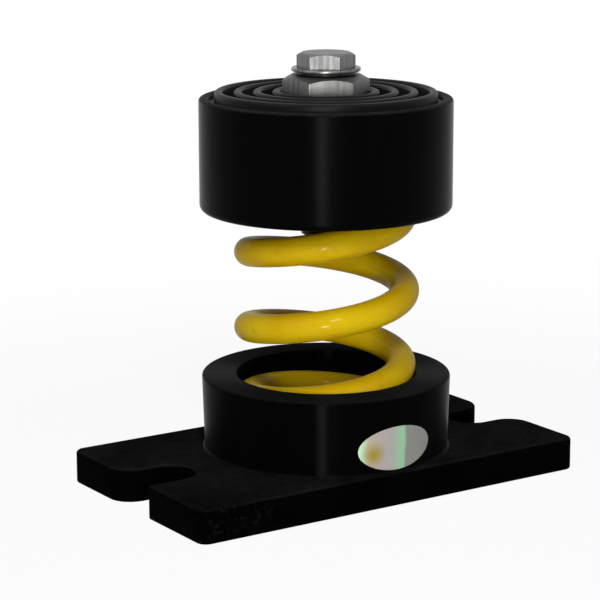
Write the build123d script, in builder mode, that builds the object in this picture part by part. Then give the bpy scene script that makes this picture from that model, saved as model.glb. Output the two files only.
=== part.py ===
# Spring vibration isolator: a rubber-clad base with a spring cup, a coil spring, a cup that caps the
# spring, and a leveling screw with two washers and a clamping bolt on top.
# Millimetres, +Z up. The origin is the centre of the base's underside. X runs along the base.
from build123d import *
from math import cos, pi, radians, sin, tan
import os

# Base plate
PLATE_LENGTH = 160.0
PLATE_WIDTH = 90.0
PLATE_THICKNESS = 12.0
PLATE_CORNER = 4.0
PLATE_TOP_ROUND = 1.2
PLATE_BOTTOM_ROUND = 0.8

# Open slot in each end of the plate
SLOT_WIDTH = 18.0
SLOT_REACH = 23.0
SLOT_WIDE_CORNER = 9.0
SLOT_SHARP_CORNER = 1.5
PLACE_TOLERANCE = 0.01

# Cup on the base
BASE_CUP_FOOT_RADIUS = 44.0
BASE_CUP_RIM_RADIUS = 44.8
BASE_CUP_HEIGHT = 27.0
BASE_CUP_FOOT_ROUND = 0.8
CUP_BORE_RADIUS = 32.5
CUP_RIM_ROUND = 1.2
CUP_BORE_ROUND = 0.9
CUP_FLOOR_ROUND = 0.8

# Spring
WIRE_DIAMETER = 10.4
SPRING_SIDE_CLEARANCE = 0.3
SPRING_SWELL = 1.2
SPRING_TURNS = 5.6
SPRING_CLOSED_TURNS = 1.0
SPRING_OPENING_TURNS = 0.8
SPRING_CLOSED_GAP = 0.2
SPRING_GROUND_DEPTH = 2.4
SPRING_START_ANGLE = 20.0
SPRING_POINTS_PER_TURN = 12

# Cup over the spring
CUP_TO_CUP_GAP = 59.4
TOP_CUP_RADIUS = 45.0
TOP_CUP_HEIGHT = 40.1
TOP_CUP_ROOF_THICKNESS = 8.5
TOP_CUP_LOW_ROUND = 2.5
TOP_CUP_HIGH_ROUND = 1.2

# Ridged pad in the top cup's face
TOP_RIM_WIDTH = 3.5
PAD_RECESS_DEPTH = 3.5
PAD_SIDE_CLEARANCE = 0.3
PAD_BASE_THICKNESS = 1.8
RIDGE_HEIGHT = 4.2
RIDGE_WIDTH = 3.1
RIDGE_PITCH = 6.8
RIDGE_EDGE_ROUND = 1.1
OUTER_RIDGE_MARGIN = 2.0
HUB_WIDTH = 2.55
HUB_DROP = 0.9

# Load plate under the top cup's roof
LOAD_PLATE_THICKNESS = 6.0
LOAD_PLATE_CLEARANCE = 0.3
LOAD_BOSS_RADIUS = 14.0
LOAD_BOSS_LENGTH = 16.0
LOAD_BOSS_ROUND = 1.5

# Leveling screw
SCREW_DIAMETER = 18.0
SCREW_THREAD_CLEARANCE = 0.05
SCREW_HOLE_CLEARANCE = 0.75
SCREW_ACROSS_FLATS = 27.0
SCREW_HEAD_HEIGHT = 6.5
SCREW_FACE_SHARE = 0.91
SCREW_SHANK_LENGTH = 56.0
SCREW_HEAD_TURN = 8.0
SCREW_END_CHAMFER = 1.5
TAPPED_HOLE_DEPTH = 30.0

# Lock washer, flat washer and clamping bolt
BOLT_DIAMETER = 12.0
BOLT_THREAD_CLEARANCE = 0.05
BOLT_ACROSS_FLATS = 18.0
BOLT_HEAD_HEIGHT = 5.3
BOLT_FACE_SHARE = 0.95
BOLT_SHANK_LENGTH = 25.0
BOLT_HEAD_TURN = -2.7
BOLT_END_CHAMFER = 1.0
WASHER_DIAMETER = 24.5
WASHER_BORE = 13.0
WASHER_THICKNESS = 1.2
WASHER_EDGE = 0.3
LOCK_WASHER_DIAMETER = 21.0
LOCK_WASHER_BORE = 12.6
LOCK_WASHER_THICKNESS = 1.3
LOCK_WASHER_SPLIT = 1.4
LOCK_WASHER_SPLIT_SLOPE = 20.0
HEX_CORNER_SLOPE = 30.0

# Oval foil label on the base cup's wall
LABEL_LENGTH = 30.0
LABEL_HEIGHT = 15.6
LABEL_THICKNESS = 0.25
LABEL_GAP = 0.1
LABEL_CENTER_RISE = 8.8

# The camera side of the spring and of the hexagons is turned from +X by this angle
FRONT_ANGLE = 235.5

# Worked out from the sizes above
slot_center = PLATE_LENGTH / 2 - SLOT_REACH + SLOT_WIDTH / 2
base_rim_height = PLATE_THICKNESS + BASE_CUP_HEIGHT
wire_radius = WIRE_DIAMETER / 2
top_cup_low = base_rim_height + CUP_TO_CUP_GAP
top_cup_high = top_cup_low + TOP_CUP_HEIGHT
roof_height = top_cup_high - TOP_CUP_ROOF_THICKNESS
load_plate_low = roof_height - LOAD_PLATE_THICKNESS
screw_clear_radius = SCREW_DIAMETER / 2 + SCREW_HOLE_CLEARANCE
recess_radius = TOP_CUP_RADIUS - TOP_RIM_WIDTH
pad_radius = recess_radius - PAD_SIDE_CLEARANCE
pad_low = top_cup_high - PAD_RECESS_DEPTH
pad_face = pad_low + PAD_BASE_THICKNESS
ridge_top = pad_face + RIDGE_HEIGHT
hub_radius = screw_clear_radius + HUB_WIDTH
outer_ridge_radius = recess_radius - OUTER_RIDGE_MARGIN
ridge_count = int((outer_ridge_radius - RIDGE_WIDTH - hub_radius) / RIDGE_PITCH) + 1
hub_top = ridge_top - HUB_DROP
screw_top = hub_top + SCREW_HEAD_HEIGHT
washer_low = screw_top + LOCK_WASHER_THICKNESS
washer_top = washer_low + WASHER_THICKNESS


# Base: the plate with its slots, then the cup, in one moulding
with BuildPart() as base_housing:
    with BuildSketch() as plate_outline:
        Rectangle(PLATE_LENGTH, PLATE_WIDTH)
        fillet(plate_outline.vertices(), PLATE_CORNER)
        with Locations((slot_center, 0), (-slot_center, 0)):
            Circle(SLOT_WIDTH / 2, mode=Mode.SUBTRACT)
        with Locations((PLATE_LENGTH / 2, 0), (-PLATE_LENGTH / 2, 0)):
            Rectangle(2 * (PLATE_LENGTH / 2 - slot_center), SLOT_WIDTH, mode=Mode.SUBTRACT)
        corners = plate_outline.vertices()
        slot_corners = [v for v in corners if abs(abs(v.Y) - SLOT_WIDTH / 2) < PLACE_TOLERANCE]
        mouth_corners = [v for v in slot_corners if abs(abs(v.X) - PLATE_LENGTH / 2) < PLACE_TOLERANCE]
        fillet([v for v in mouth_corners if v.X > 0 or v.Y > 0], SLOT_WIDE_CORNER)
        fillet([v for v in mouth_corners if v.X < 0 and v.Y < 0], SLOT_SHARP_CORNER)
    extrude(amount=PLATE_THICKNESS)
    fillet(base_housing.faces().sort_by(Axis.Z)[-1].edges(), PLATE_TOP_ROUND)
    fillet(base_housing.faces().sort_by(Axis.Z)[0].edges(), PLATE_BOTTOM_ROUND)
    with BuildSketch(Plane.XZ) as base_cup_profile:
        with BuildLine():
            Polyline(
                (0, PLATE_THICKNESS / 2),
                (BASE_CUP_FOOT_RADIUS + BASE_CUP_FOOT_ROUND, PLATE_THICKNESS / 2),
                (BASE_CUP_FOOT_RADIUS + BASE_CUP_FOOT_ROUND, PLATE_THICKNESS),
                (BASE_CUP_FOOT_RADIUS, PLATE_THICKNESS + BASE_CUP_FOOT_ROUND),
                (BASE_CUP_RIM_RADIUS, base_rim_height),
                (0, base_rim_height),
                close=True,
            )
        make_face()
        fillet(base_cup_profile.vertices().group_by(Axis.Y)[-1].sort_by(Axis.X)[-1], CUP_RIM_ROUND)
    revolve(axis=Axis.Z)
    with BuildSketch(Plane.XY.offset(PLATE_THICKNESS)):
        Circle(CUP_BORE_RADIUS)
    extrude(amount=BASE_CUP_HEIGHT, mode=Mode.SUBTRACT)
    round_edges = base_housing.edges().filter_by(GeomType.CIRCLE).sort_by(Axis.Z)
    bore_edges = [e for e in round_edges if abs(e.radius - CUP_BORE_RADIUS) < PLACE_TOLERANCE]
    fillet(bore_edges[-1], CUP_BORE_ROUND)
    fillet(bore_edges[0], CUP_FLOOR_ROUND)
base_housing.part.label = "base_housing"


# Spring: the end turns lie closed on their seats, then the pitch opens, and the free turns swell a little.
# The height of the wire's centre is worked out from the lower tip and mirrored for the upper half.
spring_low_seat = PLATE_THICKNESS
spring_high_seat = load_plate_low
closed_pitch = WIRE_DIAMETER + SPRING_CLOSED_GAP
tip_height = wire_radius - SPRING_GROUND_DEPTH
spring_end_radius = CUP_BORE_RADIUS - SPRING_SIDE_CLEARANCE - wire_radius
half_turns = SPRING_TURNS / 2
opened_turns = half_turns - SPRING_CLOSED_TURNS - SPRING_OPENING_TURNS / 2
half_rise = (spring_high_seat - spring_low_seat) / 2 - tip_height
pitch_gain = (half_rise - closed_pitch * half_turns) / opened_turns


def rise_above_seat(turns):
    """Height of the wire's centre above the nearer seat, so many turns from the nearer tip."""
    opening = min(max(turns - SPRING_CLOSED_TURNS, 0), SPRING_OPENING_TURNS)
    beyond = max(turns - SPRING_CLOSED_TURNS - SPRING_OPENING_TURNS, 0)
    gained = opening**2 / (2 * SPRING_OPENING_TURNS) + beyond
    return tip_height + closed_pitch * turns + pitch_gain * gained


def spring_point(turns):
    """Centre of the wire, so many turns up from the lower tip."""
    if turns < half_turns:
        height = spring_low_seat + rise_above_seat(turns)
    else:
        height = spring_high_seat - rise_above_seat(SPRING_TURNS - turns)
    swelling_turns = half_turns - SPRING_CLOSED_TURNS - SPRING_OPENING_TURNS
    from_middle = min(abs(turns - half_turns) / (swelling_turns + SPRING_OPENING_TURNS / 4), 1)
    radius = spring_end_radius + SPRING_SWELL * (1 + cos(pi * from_middle)) / 2
    angle = radians(SPRING_START_ANGLE + 360 * turns)
    return Vector(radius * cos(angle), radius * sin(angle), height)


point_count = round(SPRING_TURNS * SPRING_POINTS_PER_TURN)
with BuildPart() as coil_spring:
    with BuildLine():
        wire_path = Spline(*[spring_point(SPRING_TURNS * i / point_count) for i in range(point_count + 1)])
    with BuildSketch(Plane(origin=wire_path @ 0, z_dir=wire_path % 0)):
        Circle(wire_radius)
    sweep(is_frenet=True)
    # Ends ground flat to their seats
    split(bisect_by=Plane.XY.offset(spring_low_seat), keep=Keep.TOP)
    split(bisect_by=Plane.XY.offset(spring_high_seat), keep=Keep.BOTTOM)
coil_spring.part.label = "coil_spring"


# Cup over the spring, open downwards, with a recess for the pad and a hole for the screw
with BuildPart() as top_housing:
    with BuildSketch(Plane.XZ) as top_cup_profile:
        with BuildLine():
            Polyline(
                (screw_clear_radius, roof_height),
                (CUP_BORE_RADIUS, roof_height),
                (CUP_BORE_RADIUS, top_cup_low),
                (TOP_CUP_RADIUS, top_cup_low),
                (TOP_CUP_RADIUS, top_cup_high),
                (recess_radius, top_cup_high),
                (recess_radius, pad_low),
                (screw_clear_radius, pad_low),
                close=True,
            )
        make_face()
        low_corners = top_cup_profile.vertices().group_by(Axis.Y)[0].sort_by(Axis.X)
        fillet(low_corners[0], CUP_BORE_ROUND)
        fillet(low_corners[-1], TOP_CUP_LOW_ROUND)
        high_corners = top_cup_profile.vertices().group_by(Axis.Y)[-1].sort_by(Axis.X)
        fillet(high_corners[-1], TOP_CUP_HIGH_ROUND)
    revolve(axis=Axis.Z)
top_housing.part.label = "top_housing"


# Pad: a disc with concentric ridges and a slightly lower hub under the screw's head
with BuildPart() as top_pad:
    with BuildSketch(Plane.XZ) as pad_profile:
        with Locations(((pad_radius + screw_clear_radius) / 2, pad_low)):
            Rectangle(
                pad_radius - screw_clear_radius,
                PAD_BASE_THICKNESS,
                align=(Align.CENTER, Align.MIN),
            )
        for i in range(ridge_count):
            with Locations((outer_ridge_radius - i * RIDGE_PITCH, pad_face)):
                Rectangle(RIDGE_WIDTH, RIDGE_HEIGHT, align=(Align.MAX, Align.MIN))
        with Locations((screw_clear_radius, pad_face)):
            Rectangle(hub_radius - screw_clear_radius, RIDGE_HEIGHT - HUB_DROP, align=(Align.MIN, Align.MIN))
        fillet(pad_profile.vertices().filter_by(lambda v: v.Y > pad_face + PLACE_TOLERANCE), RIDGE_EDGE_ROUND)
    revolve(axis=Axis.Z)
top_pad.part.label = "top_pad"


# Load plate: the spring's upper seat, with the threaded boss that holds the leveling screw
with BuildPart() as load_plate:
    with BuildSketch(Plane.XZ) as load_profile:
        with BuildLine():
            Polyline(
                (SCREW_DIAMETER / 2, load_plate_low - LOAD_BOSS_LENGTH),
                (LOAD_BOSS_RADIUS, load_plate_low - LOAD_BOSS_LENGTH),
                (LOAD_BOSS_RADIUS, load_plate_low),
                (CUP_BORE_RADIUS - LOAD_PLATE_CLEARANCE, load_plate_low),
                (CUP_BORE_RADIUS - LOAD_PLATE_CLEARANCE, roof_height),
                (SCREW_DIAMETER / 2, roof_height),
                close=True,
            )
        make_face()
        fillet(
            load_profile.vertices().filter_by(lambda v: abs(v.X - LOAD_BOSS_RADIUS) < PLACE_TOLERANCE),
            LOAD_BOSS_ROUND,
        )
    revolve(axis=Axis.Z)
load_plate.part.label = "load_plate"


def hexagon_head(across_flats, face_share, low, height, turn):
    """Hexagon with its top corners turned off, standing on the given height."""
    flat_radius = across_flats / 2
    corner_radius = flat_radius / cos(radians(30))
    face_radius = flat_radius * face_share
    drop = (corner_radius - face_radius) * tan(radians(HEX_CORNER_SLOPE))
    with BuildPart() as head:
        with BuildSketch(Plane.XY.offset(low)):
            RegularPolygon(flat_radius, 6, major_radius=False, rotation=FRONT_ANGLE + turn)
        extrude(amount=height)
        with BuildSketch(Plane.XZ):
            with BuildLine():
                Polyline(
                    (0, low),
                    (corner_radius, low),
                    (corner_radius, low + height - drop),
                    (face_radius, low + height),
                    (0, low + height),
                    close=True,
                )
            make_face()
        revolve(axis=Axis.Z, mode=Mode.INTERSECT)
    return head.part


def round_shank(diameter, high, length, end_chamfer):
    """Round shank with a chamfered end that hangs below the given height."""
    with BuildPart() as shank:
        with BuildSketch(Plane.XY.offset(high)):
            Circle(diameter / 2)
        extrude(amount=-length)
        chamfer(shank.faces().sort_by(Axis.Z)[0].edges(), end_chamfer)
    return shank.part


# Leveling screw: hexagon head on the pad's hub, tapped from above for the clamping bolt
screw_shank_diameter = SCREW_DIAMETER - 2 * SCREW_THREAD_CLEARANCE
with BuildPart() as leveling_screw:
    add(hexagon_head(SCREW_ACROSS_FLATS, SCREW_FACE_SHARE, hub_top, SCREW_HEAD_HEIGHT, SCREW_HEAD_TURN))
    add(round_shank(screw_shank_diameter, hub_top, SCREW_SHANK_LENGTH, SCREW_END_CHAMFER))
    with Locations((0, 0, screw_top)):
        Hole(BOLT_DIAMETER / 2, depth=TAPPED_HOLE_DEPTH)
leveling_screw.part.label = "leveling_screw"


# Spring lock washer, pressed flat on the leveling screw's head, with a sloping split on the side away from
# the label
with BuildPart() as lock_washer:
    with BuildSketch(Plane.XY.offset(screw_top)):
        Circle(LOCK_WASHER_DIAMETER / 2)
        Circle(LOCK_WASHER_BORE / 2, mode=Mode.SUBTRACT)
    extrude(amount=LOCK_WASHER_THICKNESS)
    split_lean = LOCK_WASHER_THICKNESS * tan(radians(LOCK_WASHER_SPLIT_SLOPE))
    with BuildSketch(Plane.XZ):
        with BuildLine():
            Polyline(
                (-LOCK_WASHER_SPLIT / 2 - split_lean / 2, screw_top),
                (LOCK_WASHER_SPLIT / 2 - split_lean / 2, screw_top),
                (LOCK_WASHER_SPLIT / 2 + split_lean / 2, washer_low),
                (-LOCK_WASHER_SPLIT / 2 + split_lean / 2, washer_low),
                close=True,
            )
        make_face()
    extrude(amount=-LOCK_WASHER_DIAMETER / 2, mode=Mode.SUBTRACT)
lock_washer.part.label = "lock_washer"


# Plain washer on the lock washer
with BuildPart() as flat_washer:
    with BuildSketch(Plane.XY.offset(washer_low)):
        Circle(WASHER_DIAMETER / 2)
        Circle(WASHER_BORE / 2, mode=Mode.SUBTRACT)
    extrude(amount=WASHER_THICKNESS)
    rim = flat_washer.faces().sort_by(Axis.Z)[-1].edges().sort_by(SortBy.RADIUS)[-1]
    chamfer(rim, WASHER_EDGE)
flat_washer.part.label = "flat_washer"


# Clamping bolt through both washers into the leveling screw
bolt_shank_diameter = BOLT_DIAMETER - 2 * BOLT_THREAD_CLEARANCE
with BuildPart() as cap_bolt:
    add(hexagon_head(BOLT_ACROSS_FLATS, BOLT_FACE_SHARE, washer_top, BOLT_HEAD_HEIGHT, BOLT_HEAD_TURN))
    add(round_shank(bolt_shank_diameter, washer_top, BOLT_SHANK_LENGTH, BOLT_END_CHAMFER))
cap_bolt.part.label = "cap_bolt"


# Oval label bent round the base cup's wall, on the side towards -Y
with BuildPart() as oval_label:
    with BuildSketch(Plane.XZ):
        with Locations((0, PLATE_THICKNESS + LABEL_CENTER_RISE)):
            Ellipse(LABEL_LENGTH / 2, LABEL_HEIGHT / 2)
    extrude(amount=max(BASE_CUP_FOOT_RADIUS, BASE_CUP_RIM_RADIUS) + LABEL_GAP + LABEL_THICKNESS)
    with BuildSketch(Plane.XZ):
        with BuildLine():
            wall_foot = BASE_CUP_FOOT_RADIUS + LABEL_GAP
            wall_rim = BASE_CUP_RIM_RADIUS + LABEL_GAP
            wall_low = PLATE_THICKNESS + BASE_CUP_FOOT_ROUND
            Polyline(
                (wall_foot, wall_low),
                (wall_foot + LABEL_THICKNESS, wall_low),
                (wall_rim + LABEL_THICKNESS, base_rim_height),
                (wall_rim, base_rim_height),
                close=True,
            )
        make_face()
    revolve(axis=Axis.Z, mode=Mode.INTERSECT)
oval_label.part.label = "oval_label"


os.makedirs("parts", exist_ok=True)
for piece in (
    base_housing,
    oval_label,
    coil_spring,
    top_housing,
    top_pad,
    load_plate,
    leveling_screw,
    lock_washer,
    flat_washer,
    cap_bolt,
):
    export_step(piece.part, f"parts/{piece.part.label}.step")
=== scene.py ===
import math

import bmesh
import bpy
from mathutils import Matrix, Vector


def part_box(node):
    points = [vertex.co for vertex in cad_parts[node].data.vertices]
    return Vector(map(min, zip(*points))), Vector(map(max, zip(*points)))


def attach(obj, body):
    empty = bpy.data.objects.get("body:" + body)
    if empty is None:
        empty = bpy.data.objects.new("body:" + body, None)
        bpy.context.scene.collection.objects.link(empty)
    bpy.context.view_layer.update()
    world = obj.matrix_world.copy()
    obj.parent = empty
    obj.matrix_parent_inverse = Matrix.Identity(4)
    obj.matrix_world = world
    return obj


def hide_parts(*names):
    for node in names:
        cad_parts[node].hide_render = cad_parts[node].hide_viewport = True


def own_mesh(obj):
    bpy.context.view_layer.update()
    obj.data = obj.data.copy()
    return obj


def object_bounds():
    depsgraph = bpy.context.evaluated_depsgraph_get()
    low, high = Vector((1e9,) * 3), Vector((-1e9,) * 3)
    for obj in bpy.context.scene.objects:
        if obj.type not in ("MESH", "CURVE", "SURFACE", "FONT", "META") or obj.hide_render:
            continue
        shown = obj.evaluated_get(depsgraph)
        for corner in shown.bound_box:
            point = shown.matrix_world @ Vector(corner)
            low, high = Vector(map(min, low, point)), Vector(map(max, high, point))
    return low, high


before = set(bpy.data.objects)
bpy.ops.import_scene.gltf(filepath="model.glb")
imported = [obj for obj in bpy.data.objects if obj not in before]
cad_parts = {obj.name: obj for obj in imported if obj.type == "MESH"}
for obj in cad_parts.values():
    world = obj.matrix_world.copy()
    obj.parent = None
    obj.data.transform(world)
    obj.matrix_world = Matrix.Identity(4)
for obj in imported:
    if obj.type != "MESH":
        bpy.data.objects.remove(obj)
cad_low, cad_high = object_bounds()


# Base moulding. An oblong plate with an open slot in each end and a round cup for the spring's lower end, in
# one piece, moulded in hard black rubber. Every edge is rounded by the mould, and the cup's foot runs out in
# a small flare.
SLOT_WIDTH = 0.018
SLOT_REACH = 0.023
PLATE_THICKNESS = 0.012
PLATE_CORNER = 0.004
SLOT_WIDE_CORNER = 0.009
SLOT_SHARP_CORNER = 0.0015
SLOT_END_SHARE = 0.9999
PLATE_TOP_ROUND = 0.0012
PLATE_BOTTOM_ROUND = 0.0008
FLAT_MARGIN = 0.0002
SHARP_EDGE_ANGLE = 0.5
BASE_CUP_FOOT = 0.044
BASE_CUP_RIM = 0.0448
BASE_CUP_FLARE = 0.0008
CUP_BORE = 0.0325
CUP_RIM_ROUND = 0.0012
CUP_BORE_ROUND = 0.0004
CUP_ROOT = 0.002
CUP_STEPS = 192
RUBBER_BLACK = (0.0006, 0.0006, 0.0008, 1)
RUBBER_BLOOM = (0.0022, 0.0026, 0.0028, 1)
RUBBER_DUST = (0.046, 0.050, 0.046, 1)
RUBBER_GRAIN_DEPTH = 0.0002
SCUFF_GREY = (0.0075, 0.0078, 0.0075, 1)
SCUFF_PLACE = (-0.068, -0.045, 0.008)
SCUFF_REACH = 0.024
SAME_PLACE = 1e-6
MERGE_DISTANCE = 1e-7

base_low, base_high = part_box("base_housing")
plate_top = base_low.z + PLATE_THICKNESS


def finished_piece(bm, name, material, sharp_angle=40):
    """Turns a finished bmesh into an object at the origin with smooth faces and sharp corners kept."""
    mesh = bpy.data.meshes.new(name)
    bm.to_mesh(mesh)
    bm.free()
    mesh.shade_smooth()
    mesh.set_sharp_from_angle(angle=math.radians(sharp_angle))
    mesh.materials.append(material)
    piece = bpy.data.objects.new(name, mesh)
    bpy.context.scene.collection.objects.link(piece)
    return piece


def round_corner(bm, corner, radius, segments=8):
    """Rounds the corner of a flat outline that lies nearest to a point."""
    nearest = min(bm.verts, key=lambda v: (v.co - Vector(corner)).length)
    bmesh.ops.bevel(
        bm, geom=[nearest], offset=radius, offset_type="OFFSET", segments=segments, profile=0.5,
        affect="VERTICES", material=-1, clamp_overlap=False,
    )


def round_slab_edge(bm, height, radius, segments=4):
    """Rounds the whole rim of a slab's flat face.
    A narrow ring inside the rim keeps the face's shading flat."""
    edges = [
        e for e in bm.edges
        if all(abs(v.co.z - height) < SAME_PLACE for v in e.verts)
        and e.is_manifold and e.calc_face_angle(0) > SHARP_EDGE_ANGLE
    ]
    bmesh.ops.bevel(
        bm, geom=edges, offset=radius, segments=segments, profile=0.5, affect="EDGES", material=-1,
        clamp_overlap=False,
    )
    flat = [
        f for f in bm.faces
        if len(f.verts) > 4 and all(abs(v.co.z - height) < SAME_PLACE for v in f.verts)
    ]
    bmesh.ops.inset_region(bm, faces=flat, thickness=FLAT_MARGIN, use_even_offset=True)


def spun_section(bm, section, rounds=(), steps=CUP_STEPS):
    """Spins a closed section of (radius, height) points once round the spring's axis.
    rounds names a point of the section and the radius and segments of its round."""
    verts = [bm.verts.new((radius, 0, height)) for radius, height in section]
    bm.faces.new(verts)
    for point, radius, segments in rounds:
        round_corner(bm, (point[0], 0, point[1]), radius, segments)
    bmesh.ops.delete(bm, geom=list(bm.faces), context="FACES_ONLY")
    bmesh.ops.spin(
        bm, geom=bm.verts[:] + bm.edges[:], cent=(0, 0, 0), axis=(0, 0, 1), angle=math.tau, steps=steps,
        use_merge=True,
    )
    bmesh.ops.remove_doubles(bm, verts=bm.verts, dist=MERGE_DISTANCE)
    bmesh.ops.recalc_face_normals(bm, faces=bm.faces)


def lead(tree, source, socket):
    """Leads another socket into an input, or sets the input to a plain number or colour."""
    if isinstance(source, bpy.types.NodeSocket):
        tree.links.new(source, socket)
    else:
        socket.default_value = source


def piece_position(tree):
    """The place on the piece that a pattern reads."""
    return tree.nodes.new("ShaderNodeTexCoord").outputs["Object"]


def cloud_pattern(tree, position, scale, detail=2, roughness=0.5, distortion=0):
    """A cloudy pattern over the piece."""
    clouds = tree.nodes.new("ShaderNodeTexNoise")
    lead(tree, position, clouds.inputs["Vector"])
    clouds.inputs["Scale"].default_value = scale
    clouds.inputs["Detail"].default_value = detail
    clouds.inputs["Roughness"].default_value = roughness
    clouds.inputs["Distortion"].default_value = distortion
    return clouds.outputs["Fac"]


def stretched(tree, value, source=(0, 1), target=(0, 1), soft=False):
    """Stretches a value from one range to another, and holds it at the ends of the new range."""
    stretch = tree.nodes.new("ShaderNodeMapRange")
    stretch.interpolation_type = "SMOOTHSTEP" if soft else "LINEAR"
    lead(tree, value, stretch.inputs["Value"])
    for name, end in zip(("From Min", "From Max", "To Min", "To Max"), (*source, *target)):
        lead(tree, end, stretch.inputs[name])
    return stretch.outputs["Result"]


def combined(tree, operation, *terms):
    """Multiplies, adds or compares numbers and sockets."""
    step = tree.nodes.new("ShaderNodeMath")
    step.operation = operation
    for index, term in enumerate(terms):
        lead(tree, term, step.inputs[index])
    return step.outputs["Value"]


def blended_shade(tree, share, first, second):
    """Blends two colours by a share."""
    blend = tree.nodes.new("ShaderNodeMix")
    blend.data_type = "RGBA"
    lead(tree, share, blend.inputs["Factor"])
    lead(tree, first, blend.inputs[6])
    lead(tree, second, blend.inputs[7])
    return blend.outputs[2]


def upward_share(tree, slope_range):
    """How far a face looks up: 0 at the first slope and 1 at the second."""
    geometry = tree.nodes.new("ShaderNodeNewGeometry")
    facing = tree.nodes.new("ShaderNodeSeparateXYZ")
    lead(tree, geometry.outputs["Normal"], facing.inputs["Vector"])
    return stretched(tree, facing.outputs["Z"], slope_range)


def spot_share(tree, position, place, reach, soft=False):
    """1 at one spot of the piece, falling to 0 at a distance from it."""
    from_spot = tree.nodes.new("ShaderNodeVectorMath")
    from_spot.operation = "DISTANCE"
    lead(tree, position, from_spot.inputs[0])
    from_spot.inputs[1].default_value = place
    return stretched(tree, from_spot.outputs["Value"], (0, reach), (1, 0), soft)


def new_finish(name):
    """A new material, with its node tree and its shader."""
    material = bpy.data.materials.new(name)
    material.use_nodes = True
    return material, material.node_tree, material.node_tree.nodes["Principled BSDF"]


def lay_over(tree, shader, share, shade):
    """Lays a shade over the colour that the shader has so far."""
    clean = shader.inputs["Base Color"].links[0].from_socket
    lead(tree, blended_shade(tree, share, clean, shade), shader.inputs["Base Color"])


def emboss(tree, shader, height, relief, depth):
    """Shows a height as relief on the shader."""
    bump = tree.nodes.new("ShaderNodeBump")
    bump.inputs["Strength"].default_value = relief
    bump.inputs["Distance"].default_value = depth
    lead(tree, height, bump.inputs["Height"])
    lead(tree, bump.outputs["Normal"], shader.inputs["Normal"])


def skin_group(name, inputs):
    """A shader group with its own inputs that puts out a colour, a roughness and a height."""
    group = bpy.data.node_groups.new(name, "ShaderNodeTree")
    for socket, value in inputs.items():
        kind = "NodeSocketColor" if isinstance(value, tuple) else "NodeSocketFloat"
        group.interface.new_socket(name=socket, in_out="INPUT", socket_type=kind).default_value = value
    group.interface.new_socket(name="Color", in_out="OUTPUT", socket_type="NodeSocketColor")
    group.interface.new_socket(name="Roughness", in_out="OUTPUT", socket_type="NodeSocketFloat")
    group.interface.new_socket(name="Height", in_out="OUTPUT", socket_type="NodeSocketFloat")
    return group, group.nodes.new("NodeGroupInput").outputs, group.nodes.new("NodeGroupOutput").inputs


def put_on_skin(tree, shader, group, values, relief, depth):
    """Places a skin in a material with its own values, and leads what it puts out to the shader."""
    skin = tree.nodes.new("ShaderNodeGroup")
    skin.node_tree = group
    for name, value in values.items():
        skin.inputs[name].default_value = value
    lead(tree, skin.outputs["Color"], shader.inputs["Base Color"])
    lead(tree, skin.outputs["Roughness"], shader.inputs["Roughness"])
    emboss(tree, shader, skin.outputs["Height"], relief, depth)


def moulded_rubber_skin():
    """Moulded rubber: a cloudy bloom, fine dust on faces that look up, and a fine-grained skin."""
    group, entry, leave = skin_group("moulded_rubber_skin", {
        "Rubber": RUBBER_BLACK,
        "Bloom": RUBBER_BLOOM,
        "Dust": RUBBER_DUST,
        "Bloom amount": 0.5,
        "Dust amount": 0.3,
        "Smoothest": 0.34,
        "Roughest": 0.52,
        "Top dullness": 0.45,
    })
    position = piece_position(group)
    cloud = cloud_pattern(group, position, scale=38, detail=4, roughness=0.6)
    cloud_share = stretched(group, cloud, (0.35, 0.75))
    bloom_share = combined(group, "MULTIPLY", cloud_share, entry["Bloom amount"])
    bloomed = blended_shade(group, bloom_share, entry["Rubber"], entry["Bloom"])

    upward = upward_share(group, (0.35, 0.95))
    specks = cloud_pattern(group, position, scale=700, detail=3)
    drifts = combined(group, "MULTIPLY_ADD", cloud_share, 0.7, 0.3)
    patchy = combined(group, "MULTIPLY", drifts, stretched(group, specks, (0.3, 0.7), (0.55, 1)))
    settled = combined(group, "MULTIPLY", upward, patchy)
    dust_share = combined(group, "MULTIPLY", settled, entry["Dust amount"])
    lead(group, blended_shade(group, dust_share, bloomed, entry["Dust"]), leave["Color"])

    roughness = stretched(group, cloud, target=(entry["Smoothest"], entry["Roughest"]))
    dull = combined(group, "MULTIPLY_ADD", upward, entry["Top dullness"], roughness)
    lead(group, dull, leave["Roughness"])
    grain = cloud_pattern(group, position, scale=1500)
    lead(group, combined(group, "MULTIPLY_ADD", cloud, 2.5, grain), leave["Height"])
    return group


def rubber_finish(name, gloss, bloom, dust, relief, smoothest=0.34, roughest=0.52, dullness=0.45, turned=0):
    """A rubber material with its own gloss, bloom, dust and depth of grain.
    turned is the share of fine rings that the lathe-cut mould leaves round a wall."""
    material, tree, shader = new_finish(name)
    shader.inputs["Specular IOR Level"].default_value = gloss
    skin = bpy.data.node_groups.get("moulded_rubber_skin") or moulded_rubber_skin()
    values = {
        "Bloom amount": bloom, "Dust amount": dust, "Smoothest": smoothest, "Roughest": roughest,
        "Top dullness": dullness,
    }
    put_on_skin(tree, shader, skin, values, relief, RUBBER_GRAIN_DEPTH)
    if turned:
        round_wall = tree.nodes.new("ShaderNodeTangent")
        round_wall.direction_type = "RADIAL"
        round_wall.axis = "Z"
        lead(tree, round_wall.outputs["Tangent"], shader.inputs["Tangent"])
        shader.inputs["Anisotropic"].default_value = turned
        shader.inputs["Anisotropic Rotation"].default_value = 0.25
    return material


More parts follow.
